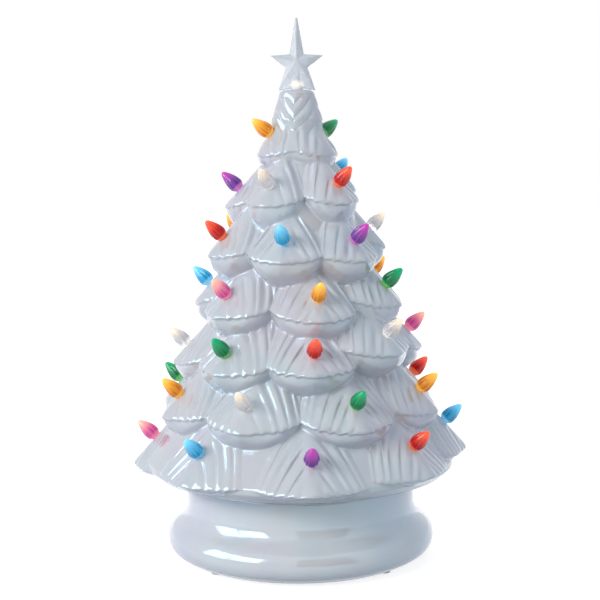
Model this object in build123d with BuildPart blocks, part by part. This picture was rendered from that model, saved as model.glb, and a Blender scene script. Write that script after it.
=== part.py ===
"""Lit ceramic Christmas tree: a hollow glazed tree with push-in bulbs and a star, on a
glazed base that holds the battery light. Millimetres, Z up, Y away from the viewer. The
origin is on the axis of the tree, on the table that the feet stand on."""

import os
from math import atan, cos, radians, sin, tan

from build123d import *

os.makedirs("parts", exist_ok=True)

# Fits, one for each kind of joint
peg_fit = 0.1  # bulb and star pegs in their holes, on the radius
rim_fit = 0.5  # tree rim around the lip of the base, on the radius
pin_fit = 0.05  # door pins in the housing ears, on the radius
door_gap = 0.4  # door inside the housing walls, each side
knob_fit = 0.15  # switch knob in its slot, each side
screw_fit = 0.05  # screws in their holes, on the radius
cell_gap = 0.3  # battery cells in the housing, each side

# Feet and base
foot_thickness = 1.2
foot_pad_radius = 4.2
foot_count = 4
base_foot_radius = 80.5
base_bulge_radius = 89.2
base_bulge_height = 9.5
base_shoulder_radius = 84.0
base_shoulder_height = 23.0
base_neck_radius = 76.5
base_neck_height = 37.0
seat_height = 52.0
base_inside_radius = 70.0
lip_inside_radius = 61.0
lip_outside_radius = 65.5
lip_height = 4.0
lip_break = 1.0
deck_height = 34.0
deck_thickness = 5.0
deck_hole_radius = 22.0

# Tree shell
wall = 5.0
skirt_radius = 113.5
lowest_hem_rise = 13.0  # above the seat on the base
tier_pitch = 34.0
rim_radius = 73.5
skirt_floor_radius = 98.0
skirt_floor_rise = 5.0
skirt_band_radius = 103.0
skirt_band_rise = 10.0
skirt_band_height = 4.0
crown_radius = 12.0
crown_rise = 40.0  # above the top tier's hem
crown_neck_radius = 17.0
crown_neck_rise = 21.0
crown_roof = 12.0  # ceramic left above the hollow, which the star's peg goes through

# Tiers from the top down: tip radius as a share of the skirt's, rounding radius of a bough
# as a share of its tip radius, depth of its belly as a share of the pitch, core radius as a
# share of its tip radius, how far its bulb stands in from the tip, as a share of the
# rounding radius, and how far the hem draws back beside the tip, as a share of the way across
reach_shares = (0.256, 0.44, 0.573, 0.656, 0.758, 0.863, 1.0)
round_shares = (0.75, 0.4, 0.4, 0.38, 0.36, 0.35, 0.39)
belly_shares = (0.4, 0.5, 0.5, 0.5, 0.5, 0.5, 0.25)
core_shares = (0.58, 0.71, 0.68, 0.71, 0.75, 0.79)
setback_shares = (0.46, 0.551, 0.425, 0.422, 0.352, 0.38, 0.361)
wedge_shares = (0.2, 0.5, 0.5, 0.5, 0.5, 0.5, 0.41)
ridge_slopes = (54, 48, 48, 48, 48, 48, 48)  # degrees below level, along a bough's ridge
hem_tilts = (12, 14, 14, 14, 14, 14, 4)  # degrees that a hem climbs from its tip back to the core
hem_lip = 1.8  # how far a tent stands out over its belly
peak_shares = (0.2, 0.9, 0.4, 0.7, 0.9, 0.9, 0.5)  # how far a tent's peak is behind its middle
belly_outline_shares = ((0.5, 0.9, 0.7), (1, 0.6, 0.3))  # of a belly's depth, radius and wedge

# Boughs of each tier: angle in degrees around the axis from the front, positive to the
# viewer's right, the lift of a hand-set bough as a share of the pitch, and its bulb
lift_shares = (
    ((-68, -0.06, "amber"), (52, -0.06, None), (122, -0.06, "green"), (-160, -0.06, "red")),
    ((-95, -0.06, "purple"), (-28, 0, "clear"), (42, 0.03, "red"), (138, 0.2, "blue"), (-158, 0, "amber")),
    (
        (-131, 0.08, "amber"),
        (-65, 0.03, "red"),
        (-10, -0.02, "blue"),
        (42, -0.03, "purple"),
        (115, 0.1, "clear"),
        (170, 0.05, "green"),
    ),
    (
        (-105, 0.03, "blue"),
        (-47, -0.06, "pink"),
        (11, -0.08, "amber"),
        (64, 0.08, "green"),
        (126, 0.16, "amber"),
        (-170, 0.1, "purple"),
    ),
    (
        (-90, -0.1, "clear"),
        (-38, -0.06, "green"),
        (7, -0.02, "red"),
        (48, 0.24, "clear"),
        (100, 0.12, "pink"),
        (143, 0.1, "blue"),
        (-174, 0.05, "amber"),
        (-132, 0, "purple"),
    ),
    (
        (-106, 0.02, "green"),
        (-66, 0, "amber"),
        (-23, -0.02, "clear"),
        (24, -0.02, "green"),
        (67, 0.06, "amber"),
        (112, 0.05, "red"),
        (158, 0.02, "blue"),
        (-154, 0, "pink"),
    ),
    (
        (-90, -0.12, "pink"),
        (-40, 0, "blue"),
        (4, -0.02, "purple"),
        (47, 0.06, "red"),
        (90, 0.15, "blue"),
        (135, 0.05, "green"),
        (-176, 0, "clear"),
        (-131, -0.05, "amber"),
    ),
)

# Bulbs
peg_radius = 2.5
bulb_peg_length = 8.0
bulb_collar_radius = 3.2
bulb_collar_height = 1.2
bulb_radius = 5.0
bulb_widest_height = 6.0
bulb_height = 17.0
bulb_seat_depth = 1.0  # how far the flat seat is sunk into the ridge
bulb_cheek_shares = (0.92, 0.5)  # of the step from collar to widest, out and up
bulb_taper_shares = (0.7, 0.6)  # of the widest radius, and of the way to the tip

# Star
star_point = 27.5  # from the middle of the star to the end of its upper point
star_arm_width = 17.3
star_leg_drop = 19.5
star_edge = 2.4
star_thickness = 8.0
star_peg_length = 14.0
star_collar_radius = 4.0
star_collar_height = 3.0
star_outline_shares = (  # across as a share of the arm, up as a share of the point
    (0, 1),
    (0.28, 0.145),
    (1, 0.116),
    (0.405, -0.167),
    (0.705, -0.709),
    (0, -0.36),
    (-0.705, -0.709),
    (-0.405, -0.167),
    (-1, 0.116),
    (-0.28, 0.145),
)

# Light post, board and LEDs
post_radius = 8.0
post_bore_radius = 6.0
post_top_height = 120.0
flange_radius = 28.0
flange_thickness = 3.0
boss_radius = 4.0
boss_circle_radius = 15.0
boss_count = 3
board_radius = 13.0
board_thickness = 1.6
led_radius = 2.5
led_flange_radius = 2.9
led_flange_height = 1.0
led_height = 7.5
led_circle_radius = 9.0
led_ring_count = 5

# Battery housing, with its cells lying along X
cell_radius = 7.1
cell_length = 49.2
cell_nub_radius = 2.6
cell_nub_length = 1.0
cell_count = 3
contact_space = 2.5
contact_width = 7.0
contact_height = 9.0
contact_thickness = 0.4
housing_wall = 2.0
door_thickness = 1.8
door_pin_radius = 0.8
door_pin_length = 1.5
door_notch_radius = 6.0
wire_space = 3.5
wire_radius = 0.6
wire_bend = 2.0
wire_spread = 2.0
wire_hole_radius = 1.0
wire_exit_radius = 4.0

# Switch, in a bay on the far side of the housing
switch_length = 14.0
switch_width = 7.0
switch_height = 8.0
switch_gap = 0.3
knob_length = 4.0
knob_width = 3.0
knob_travel = 4.0
knob_depth = 2.5
knob_reach = 2.0

# Screws
screw_radius = 1.4
screw_length = 7.0
screw_head_radius = 2.6
screw_head_height = 1.6

# Heights and places that follow from the sizes above
tier_count = len(reach_shares)
deck_underside = deck_height - deck_thickness
seat_bore_radius = lip_outside_radius + rim_fit
bulb_hole_radius = peg_radius + peg_fit
cell_span = cell_length + cell_nub_length
bay_length = cell_span + 2 * contact_space
bay_width = 2 * cell_count * (cell_radius + cell_gap)
housing_length = bay_length + 2 * housing_wall
housing_width = bay_width + 2 * housing_wall
ceiling_height = deck_underside - housing_wall
cell_axis_height = ceiling_height - wire_space - cell_radius
door_top_height = cell_axis_height - cell_radius - cell_gap
housing_bottom_height = door_top_height - door_thickness
wire_height = ceiling_height - wire_space / 2
switch_bay_length = switch_length + 2 * switch_gap
switch_bay_width = switch_width + 2 * switch_gap
switch_middle = housing_width / 2 + switch_bay_width / 2
board_top_height = post_top_height + board_thickness
lowest_hem_height = seat_height + lowest_hem_rise
highest_hem_height = lowest_hem_height + (tier_count - 1) * tier_pitch
crown_neck_height = highest_hem_height + crown_neck_rise
crown_height = highest_hem_height + crown_rise
star_middle_height = crown_height + star_leg_drop


def tier_reach(tier):
    return skirt_radius * reach_shares[tier]


def tier_round(tier):
    return tier_reach(tier) * round_shares[tier]


def hem_height(tier):
    return highest_hem_height - tier * tier_pitch


def ridge_rise(tier):
    return tan(radians(ridge_slopes[tier]))


def room_beside(tier):
    """Half the room between the two closest boughs of a tier, across their middles."""
    angles = sorted(angle for angle, lift, colour in lift_shares[tier])
    turns = [after - before for before, after in zip(angles, angles[1:] + [angles[0] + 360])]
    return (tier_reach(tier) - tier_round(tier)) * sin(radians(min(turns) / 2))


def bough_places(tier):
    """Where the boughs of a tier go: turned about the axis, and lifted."""
    return [
        Location((0, 0, hem_height(tier) + lift * tier_pitch), (0, 0, angle - 90))
        for angle, lift, colour in lift_shares[tier]
    ]


def bough_outline(plane, radius, wedge):
    """Face of a bough's plan: round at the sides and the back, blunt-pointed at the tip."""
    side = 2 * atan(wedge)
    corner = (radius * cos(side), radius * sin(side))
    with BuildSketch(plane) as outline:
        with BuildLine():
            Line((radius, 0), corner)
            ThreePointArc(corner, (-radius, 0), (corner[0], -corner[1]))
            Line((corner[0], -corner[1]), (radius, 0))
        make_face()
    return outline.sketch.face()


def bough(tier, inset):
    """One bough of a tier along X with its tip at height 0: a tent with a peak, and a round
    belly under it. With an inset it is the hollow inside the bough, that far in from its
    faces and no wider than leaves it clear of the hollow in the next bough."""
    rise = ridge_rise(tier)
    wedge = wedge_shares[tier]
    radius = tier_round(tier)
    if inset:
        radius = min(radius - inset, room_beside(tier))
    middle = tier_reach(tier) - inset - radius
    sink = inset * ((1 + rise**2 * (1 + wedge**2)) ** 0.5 - rise)
    drop = belly_shares[tier] * tier_pitch - inset - sink
    back = peak_shares[tier] * radius
    peak = Vertex(-back, 0, (radius + back) * rise)
    tilt = radians(hem_tilts[tier])
    lip = 0 if inset else hem_lip
    hem_plane = Plane(origin=(0, 0, radius * tan(tilt)), z_dir=(sin(tilt), 0, cos(tilt)))
    hem = bough_outline(hem_plane, radius / cos(tilt), wedge)
    belly = [bough_outline(hem_plane, (radius - lip) / cos(tilt), wedge)]
    for depth_share, radius_share, wedge_share in belly_outline_shares:
        plane = Plane.XY.offset(-depth_share * drop)
        belly.append(bough_outline(plane, radius_share * radius, wedge_share * wedge))
    with BuildPart() as solid:
        loft(sections=[hem, peak], ruled=True)
        loft(sections=belly, ruled=True)
    return solid.part.moved(Location((middle, 0, -sink)))


def bulb_seats():
    """Seat plane of each bulb, on the ridge of its bough and square to it, with its colour."""
    seats = []
    for tier in range(tier_count):
        back = setback_shares[tier] * tier_round(tier)
        slope = radians(ridge_slopes[tier])
        for angle, lift, colour in lift_shares[tier]:
            if colour is None:
                continue
            turn = radians(angle)
            outward = Vector(sin(turn), -cos(turn), 0)
            up = Vector(0, 0, 1)
            axis = outward * sin(slope) + up * cos(slope)
            ridge = outward * (tier_reach(tier) - back)
            ridge += up * (hem_height(tier) + lift * tier_pitch + back * ridge_rise(tier))
            across = Vector(cos(turn), sin(turn), 0)
            place = Plane(origin=ridge - axis * bulb_seat_depth, x_dir=across, z_dir=axis)
            seats.append((colour, place))
    return seats


seats = bulb_seats()
seat_places = [place.location for colour, place in seats]

# Tree shell: a turned core with the boughs of every tier grown out of it
core_points = [(tier_reach(t) * core_shares[t], hem_height(t)) for t in range(tier_count - 1)]
with BuildPart() as tree_solid:
    with BuildSketch(Plane.XZ):
        with BuildLine():
            Polyline(
                (0, crown_height),
                (crown_radius, crown_height),
                (crown_neck_radius, crown_neck_height),
                *core_points,
                (skirt_band_radius, seat_height + skirt_band_rise + skirt_band_height),
                (skirt_band_radius, seat_height + skirt_band_rise),
                (skirt_floor_radius, seat_height + skirt_floor_rise),
                (rim_radius, seat_height),
                (0, seat_height),
                close=True,
            )
        make_face()
    revolve(axis=Axis.Z)
    for tier in range(tier_count):
        with Locations(*bough_places(tier)):
            add(bough(tier, 0))

# The hollow of the casting follows the outside at the wall's thickness
hollow_points = [(radius - wall, height) for radius, height in core_points]
with BuildPart() as tree_hollow:
    with BuildSketch(Plane.XZ):
        with BuildLine():
            Polyline(
                (0, crown_height - crown_roof),
                (bulb_hole_radius, crown_height - crown_roof),
                (crown_neck_radius - wall, crown_neck_height),
                *hollow_points,
                (skirt_floor_radius - 2 * wall, seat_height + skirt_floor_rise + wall),
                (seat_bore_radius, seat_height + wall),
                (seat_bore_radius, 0),
                (0, 0),
                close=True,
            )
        make_face()
    revolve(axis=Axis.Z)
    for tier in range(tier_count):
        with Locations(*bough_places(tier)):
            add(bough(tier, wall))

with BuildPart() as tree_shell:
    add(tree_solid.part)
    add(tree_hollow.part, mode=Mode.SUBTRACT)
    # star hole through the crown
    with Locations((0, 0, crown_height)):
        Cylinder(
            bulb_hole_radius,
            2 * crown_roof,
            align=(Align.CENTER, Align.CENTER, Align.MAX),
            mode=Mode.SUBTRACT,
        )
    # hole and flat seat of every bulb
    with Locations(*seat_places):
        Cylinder(
            bulb_hole_radius,
            2 * bulb_peg_length,
            align=(Align.CENTER, Align.CENTER, Align.MAX),
            mode=Mode.SUBTRACT,
        )
    with Locations(*seat_places):
        Cylinder(
            bulb_collar_radius + peg_fit,
            2 * bulb_seat_depth,
            align=(Align.CENTER, Align.CENTER, Align.MIN),
            mode=Mode.SUBTRACT,
        )
tree_shell.part.label = "tree_shell"
export_step(tree_shell.part, "parts/tree_shell.step")

# Bulb: a peg, a collar that sits on the bough, and a pear-shaped lens
cheek_out, cheek_up = bulb_cheek_shares
taper_in, taper_up = bulb_taper_shares
with BuildPart() as bulb:
    with BuildSketch(Plane.XZ):
        with BuildLine():
            Polyline(
                (0, bulb_height),
                (0, -bulb_peg_length),
                (peg_radius, -bulb_peg_length),
                (peg_radius, 0),
                (bulb_collar_radius, 0),
                (bulb_collar_radius, bulb_collar_height),
            )
            ThreePointArc(
                (bulb_collar_radius, bulb_collar_height),
                (
                    bulb_collar_radius + cheek_out * (bulb_radius - bulb_collar_radius),
                    bulb_collar_height + cheek_up * (bulb_widest_height - bulb_collar_height),
                ),
                (bulb_radius, bulb_widest_height),
            )
            Spline(
                (bulb_radius, bulb_widest_height),
                (taper_in * bulb_radius, bulb_widest_height + taper_up * (bulb_height - bulb_widest_height)),
                (0, bulb_height),
                tangents=((0, 1), (-1, 0)),
            )
        make_face()
    revolve(axis=Axis.Z)

# Every bulb is a piece of its own, numbered within its colour from the top of the tree
made = {}
for colour, place in seats:
    made[colour] = made.get(colour, 0) + 1
    name = f"{colour}_bulb_{made[colour]}"
    with BuildPart() as set_bulb:
        with Locations(place.location):
            add(bulb.part)
    set_bulb.part.label = name
    export_step(set_bulb.part, f"parts/{name}.step")

# Star: a thin-edged plate with a low pyramid on each face, on a collar and peg
star_points = [(across * star_arm_width, up * star_point) for across, up in star_outline_shares]
star_plane = Plane(origin=(0, 0, star_middle_height), x_dir=(1, 0, 0), z_dir=(0, -1, 0))
star_notch_height = star_middle_height + star_outline_shares[5][1] * star_point
with BuildPart() as star:
    with BuildSketch(star_plane):
        with BuildLine():
            Polyline(*star_points, close=True)
        make_face()
    extrude(amount=star_edge / 2, both=True)
    for side in (1, -1):
        face_plane = star_plane.offset(side * star_edge / 2)
        with BuildSketch(face_plane) as star_face:
            with BuildLine():
                Polyline(*star_points, close=True)
            make_face()
        tip = star_plane.offset(side * star_thickness / 2).origin
        loft(sections=[star_face.sketch.face(), Vertex(*tip)], ruled=True)
    with Locations((0, 0, crown_height)):
        Cylinder(
            star_collar_radius,
            star_collar_height,
            align=(Align.CENTER, Align.CENTER, Align.MIN),
        )
        Cylinder(
            peg_radius,
            star_notch_height + star_edge - crown_height,
            align=(Align.CENTER, Align.CENTER, Align.MIN),
        )
        Cylinder(
            peg_radius,
            star_peg_length,
            align=(Align.CENTER, Align.CENTER, Align.MAX),
        )
star.part.label = "star"
export_step(star.part, "parts/star.step")

# Base: a turned casting, bulged at the foot, with a sunken deck inside the seat ring
with BuildPart() as base:
    with BuildSketch(Plane.XZ):
        with BuildLine():
            bulge = ThreePointArc(
                (base_foot_radius, foot_thickness),
                (base_bulge_radius, base_bulge_height),
                (base_shoulder_radius, base_shoulder_height),
            )
            cove = TangentArc(bulge @ 1, (base_neck_radius, base_neck_height), tangent=bulge % 1)
            Polyline(
                cove @ 1,
                (base_neck_radius, seat_height),
                (lip_outside_radius, seat_height),
                (lip_outside_radius, seat_height + lip_height - lip_break),
                (lip_outside_radius - lip_break, seat_height + lip_height),
                (lip_inside_radius, seat_height + lip_height),
                (lip_inside_radius, deck_height),
                (deck_hole_radius, deck_height),
                (deck_hole_radius, deck_underside),
                (base_inside_radius, deck_underside),
                (base_inside_radius, foot_thickness),
                (base_foot_radius, foot_thickness),
            )
        make_face()
    revolve(axis=Axis.Z)
base.part.label = "base"
export_step(base.part, "parts/base.step")

# Feet: pads under the foot ring
with BuildPart() as feet:
    with PolarLocations((base_inside_radius + base_foot_radius) / 2, foot_count, start_angle=45):
        Cylinder(foot_pad_radius, foot_thickness, align=(Align.CENTER, Align.CENTER, Align.MIN))
feet.part.label = "feet"
export_step(feet.part, "parts/feet.step")

# Light post: a tube on a flange, with bosses that reach down through the deck's hole
with BuildPart() as light_post:
    with Locations((0, 0, deck_height)):
        Cylinder(flange_radius, flange_thickness, align=(Align.CENTER, Align.CENTER, Align.MIN))
        Cylinder(post_radius, post_top_height - deck_height, align=(Align.CENTER, Align.CENTER, Align.MIN))
    with Locations((0, 0, deck_height)):
        with PolarLocations(boss_circle_radius, boss_count):
            Cylinder(boss_radius, deck_thickness, align=(Align.CENTER, Align.CENTER, Align.MAX))
    with Locations((0, 0, post_top_height)):
        Cylinder(
            post_bore_radius,
            post_top_height - deck_height,
            align=(Align.CENTER, Align.CENTER, Align.MAX),
            mode=Mode.SUBTRACT,
        )
    with Locations((0, 0, ceiling_height)):
        with PolarLocations(boss_circle_radius, boss_count):
            Cylinder(
                screw_radius + screw_fit,
                screw_length + screw_fit,
                align=(Align.CENTER, Align.CENTER, Align.MIN),
                mode=Mode.SUBTRACT,
            )
light_post.part.label = "light_post"
export_step(light_post.part, "parts/light_post.step")

# LED board on the end of the post
with BuildPart() as led_board:
    with Locations((0, 0, post_top_height)):
        Cylinder(board_radius, board_thickness, align=(Align.CENTER, Align.CENTER, Align.MIN))
led_board.part.label = "led_board"
export_step(led_board.part, "parts/led_board.step")

# LEDs: one in the middle and a ring around it
with BuildPart() as led:
    with BuildSketch(Plane.XZ):
        with BuildLine():
            Polyline(
                (0, led_height),
                (0, 0),
                (led_flange_radius, 0),
                (led_flange_radius, led_flange_height),
                (led_radius, led_flange_height),
                (led_radius, led_height - led_radius),
            )
            RadiusArc((led_radius, led_height - led_radius), (0, led_height), -led_radius)
        make_face()
    revolve(axis=Axis.Z)
with BuildPart() as leds:
    with Locations((0, 0, board_top_height)):
        add(led.part)
        with PolarLocations(led_circle_radius, led_ring_count):
            add(led.part)
leds.part.label = "leds"
export_step(leds.part, "parts/leds.step")

# Battery housing: an open-bottomed box under the deck, with the switch bay beside it
hinge_x = bay_length / 2 - door_gap - door_thickness / 2
hinge_z = housing_bottom_height + door_thickness / 2
with BuildPart() as battery_housing:
    with Locations((0, 0, housing_bottom_height)):
        Box(
            housing_length,
            housing_width,
            deck_underside - housing_bottom_height,
            align=(Align.CENTER, Align.CENTER, Align.MIN),
        )
    with Locations((0, switch_middle, housing_bottom_height)):
        Box(
            switch_bay_length + 2 * housing_wall,
            switch_bay_width + 2 * housing_wall,
            deck_underside - housing_bottom_height,
            align=(Align.CENTER, Align.CENTER, Align.MIN),
        )
    # cell bay, open below
    with Locations((0, 0, housing_bottom_height)):
        Box(
            bay_length,
            bay_width,
            ceiling_height - housing_bottom_height,
            align=(Align.CENTER, Align.CENTER, Align.MIN),
            mode=Mode.SUBTRACT,
        )
    # switch bay, with a floor that the switch stands on
    with Locations((0, switch_middle, door_top_height)):
        Box(
            switch_bay_length,
            switch_bay_width,
            ceiling_height - door_top_height,
            align=(Align.CENTER, Align.CENTER, Align.MIN),
            mode=Mode.SUBTRACT,
        )
    # slot for the knob
    with Locations((0, switch_middle, housing_bottom_height)):
        Box(
            knob_length + knob_travel + 2 * knob_fit,
            knob_width + 2 * knob_fit,
            door_thickness,
            align=(Align.CENTER, Align.CENTER, Align.MIN),
            mode=Mode.SUBTRACT,
        )
    # holes for the door's pins
    with Locations(Plane(origin=(hinge_x, 0, hinge_z), x_dir=(1, 0, 0), z_dir=(0, 1, 0)).location):
        Cylinder(
            door_pin_radius + pin_fit,
            bay_width + 2 * (door_pin_length + pin_fit),
            mode=Mode.SUBTRACT,
        )
    # way up for the wires, and from the switch bay to it
    with Locations((0, 0, deck_underside)):
        Cylinder(
            wire_exit_radius,
            2 * housing_wall,
            mode=Mode.SUBTRACT,
        )
    with Locations(Plane(origin=(0, housing_width / 2, wire_height), x_dir=(1, 0, 0), z_dir=(0, 1, 0)).location):
        Cylinder(wire_hole_radius, 3 * housing_wall, mode=Mode.SUBTRACT)
    # screw holes
    with Locations((0, 0, deck_underside)):
        with PolarLocations(boss_circle_radius, boss_count):
            Cylinder(screw_radius + screw_fit, 2 * housing_wall, mode=Mode.SUBTRACT)
battery_housing.part.label = "battery_housing"
export_step(battery_housing.part, "parts/battery_housing.step")

# Screws, up through the housing into the bosses of the post
with BuildPart() as housing_screws:
    with Locations((0, 0, ceiling_height)):
        with PolarLocations(boss_circle_radius, boss_count):
            Cylinder(screw_head_radius, screw_head_height, align=(Align.CENTER, Align.CENTER, Align.MAX))
            Cylinder(screw_radius, screw_length, align=(Align.CENTER, Align.CENTER, Align.MIN))
housing_screws.part.label = "housing_screws"
export_step(housing_screws.part, "parts/housing_screws.step")

# Battery cells side by side, every second one turned round
with BuildPart() as cell:
    with BuildSketch(Plane.XZ):
        with BuildLine():
            Polyline(
                (-cell_span / 2, 0),
                (-cell_span / 2, cell_radius),
                (cell_span / 2 - cell_nub_length, cell_radius),
                (cell_span / 2 - cell_nub_length, cell_nub_radius),
                (cell_span / 2, cell_nub_radius),
                (cell_span / 2, 0),
                close=True,
            )
        make_face()
    revolve(axis=Axis.X)
cell_rows = [(i - (cell_count - 1) / 2) * 2 * (cell_radius + cell_gap) for i in range(cell_count)]
with BuildPart() as battery_cells:
    for i, row in enumerate(cell_rows):
        with Locations(Location((0, row, cell_axis_height), (0, 0, 180 * (i % 2)))):
            add(cell.part)
battery_cells.part.label = "battery_cells"
export_step(battery_cells.part, "parts/battery_cells.step")

# Battery contacts: a folded leaf between the housing's end wall and each end of a cell
with BuildPart() as contact:
    with BuildSketch(Plane.XZ):
        with BuildLine():
            leaf_edge = contact_thickness / 2
            FilletPolyline(
                (leaf_edge, -contact_height / 2),
                (leaf_edge, contact_height / 2),
                (contact_space - leaf_edge, contact_height / 4),
                (contact_space - leaf_edge, -contact_height / 4),
                radius=contact_thickness,
            )
        trace(line_width=contact_thickness)
    extrude(amount=contact_width / 2, both=True)
with BuildPart() as battery_contacts:
    for row in cell_rows:
        with Locations(Location((-bay_length / 2, row, cell_axis_height))):
            add(contact.part)
        with Locations(Location((bay_length / 2, row, cell_axis_height), (0, 0, 180))):
            add(contact.part)
battery_contacts.part.label = "battery_contacts"
export_step(battery_contacts.part, "parts/battery_contacts.step")

# Battery door: a flap flush with the housing's edge, round at its hinge end
door_width = bay_width - 2 * door_gap
door_free_x = -bay_length / 2 + door_gap
with BuildPart() as battery_door:
    with BuildSketch(Plane.XZ.offset(-door_width / 2)):
        with BuildLine():
            Line((hinge_x, housing_bottom_height), (door_free_x, housing_bottom_height))
            Line((door_free_x, housing_bottom_height), (door_free_x, door_top_height))
            Line((door_free_x, door_top_height), (hinge_x, door_top_height))
            ThreePointArc(
                (hinge_x, door_top_height),
                (hinge_x + door_thickness / 2, hinge_z),
                (hinge_x, housing_bottom_height),
            )
        make_face()
    extrude(amount=door_width)
    # finger notch at the free end
    with Locations((door_free_x, 0, housing_bottom_height)):
        Cylinder(door_notch_radius, 2 * door_thickness, mode=Mode.SUBTRACT)
    with Locations(Plane(origin=(hinge_x, 0, hinge_z), x_dir=(1, 0, 0), z_dir=(0, 1, 0)).location):
        Cylinder(door_pin_radius, bay_width + 2 * door_pin_length)
battery_door.part.label = "battery_door"
export_step(battery_door.part, "parts/battery_door.step")

# Slide switch: the body stands on the bay's floor, and its knob comes out below
knob_space = knob_length + knob_travel + 2 * knob_fit
with BuildPart() as switch_body:
    with Locations((0, switch_middle, door_top_height)):
        Box(
            switch_length,
            switch_width,
            switch_height,
            align=(Align.CENTER, Align.CENTER, Align.MIN),
        )
        Box(
            knob_space,
            knob_width + 2 * knob_fit,
            knob_depth + knob_fit,
            align=(Align.CENTER, Align.CENTER, Align.MIN),
            mode=Mode.SUBTRACT,
        )
switch_body.part.label = "switch_body"
export_step(switch_body.part, "parts/switch_body.step")

with BuildPart() as switch_knob:
    with Locations((knob_travel / 2, switch_middle, housing_bottom_height - knob_reach)):
        Box(
            knob_length,
            knob_width,
            knob_reach + door_thickness + knob_depth,
            align=(Align.CENTER, Align.CENTER, Align.MIN),
        )
switch_knob.part.label = "switch_knob"
export_step(switch_knob.part, "parts/switch_knob.step")

# Wires: one from a battery contact and one from the switch, up the post to the board
wire_start_x = -bay_length / 2 + contact_thickness + wire_radius
wire_routes = (
    (
        (wire_start_x, 0, cell_axis_height + contact_height / 2 + contact_thickness),
        (wire_start_x, 0, wire_height),
        (-wire_spread, 0, wire_height),
        (-wire_spread, 0, post_top_height),
    ),
    (
        (0, switch_middle, door_top_height + switch_height),
        (0, switch_middle, wire_height),
        (0, wire_spread, wire_height),
        (0, wire_spread, post_top_height),
    ),
)
with BuildPart() as wires:
    for route in wire_routes:
        with BuildLine() as wire_path:
            FilletPolyline(*route, radius=wire_bend)
        with BuildSketch(Plane(origin=wire_path.line @ 0, z_dir=wire_path.line % 0)) as wire_end:
            Circle(wire_radius)
        sweep(sections=wire_end.sketch, path=wire_path.line)
wires.part.label = "wires"
export_step(wires.part, "parts/wires.step")
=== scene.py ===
# %% [markdown]
# # A lit ceramic Christmas tree
# The real object is a hollow tree cast in clay, dipped in a pearly white glaze and set on a
# round base. Plastic bulbs are pushed into its boughs and a clear star stands on its crown.
# The CAD frame holds the pieces. Here most of those that show are modelled and all are finished.

# %% Load the CAD frame
import math

import bpy
import numpy as np
from mathutils import Matrix, Vector


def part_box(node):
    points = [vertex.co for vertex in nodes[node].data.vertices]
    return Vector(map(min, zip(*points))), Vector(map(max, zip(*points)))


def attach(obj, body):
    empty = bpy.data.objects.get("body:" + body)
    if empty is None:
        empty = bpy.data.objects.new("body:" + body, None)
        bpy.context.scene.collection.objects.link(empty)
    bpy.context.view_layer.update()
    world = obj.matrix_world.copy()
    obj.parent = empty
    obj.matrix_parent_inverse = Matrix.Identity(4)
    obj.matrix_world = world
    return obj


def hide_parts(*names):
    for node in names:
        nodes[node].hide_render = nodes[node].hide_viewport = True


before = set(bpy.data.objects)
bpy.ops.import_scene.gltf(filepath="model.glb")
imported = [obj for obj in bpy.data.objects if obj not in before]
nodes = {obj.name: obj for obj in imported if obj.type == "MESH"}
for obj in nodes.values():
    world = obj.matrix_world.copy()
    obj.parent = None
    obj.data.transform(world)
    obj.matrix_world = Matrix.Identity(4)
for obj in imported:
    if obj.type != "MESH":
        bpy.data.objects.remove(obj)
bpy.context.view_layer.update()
MM = 0.001

# %% [markdown]
# ## Sizes shared with the CAD model
# The boughs are set one by one around the tree, so their places are a short table: the angle in
# degrees from the front, the lift as a share of the distance between tiers, and the bulb.
# They are the same as in the CAD source, because the modelled skin has to carry the same
# bulbs in the same holes. Lengths are in millimetres unless they say otherwise.

# %% Tiers and boughs
TIER_PITCH = 34.0
SEAT_HEIGHT = 52.0
LOWEST_HEM = SEAT_HEIGHT + 13.0
SKIRT_RADIUS = 113.5
REACH_SHARES = (0.256, 0.44, 0.573, 0.656, 0.758, 0.863, 1.0)
ROUND_SHARES = (0.75, 0.4, 0.4, 0.38, 0.36, 0.35, 0.39)
BELLY_SHARES = (0.4, 0.5, 0.5, 0.5, 0.5, 0.5, 0.25)
CORE_SHARES = (0.58, 0.71, 0.68, 0.71, 0.75, 0.79)
SETBACK_SHARES = (0.46, 0.551, 0.425, 0.422, 0.352, 0.38, 0.361)
WEDGE_SHARES = (0.2, 0.5, 0.5, 0.5, 0.5, 0.5, 0.41)
RIDGE_SLOPES = (54, 48, 48, 48, 48, 48, 48)
PEAK_SHARES = (0.2, 0.9, 0.4, 0.7, 0.9, 0.9, 0.5)
HEM_TILTS = (12, 14, 14, 14, 14, 14, 4)  # degrees that a hem climbs from its tip to the core
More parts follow.
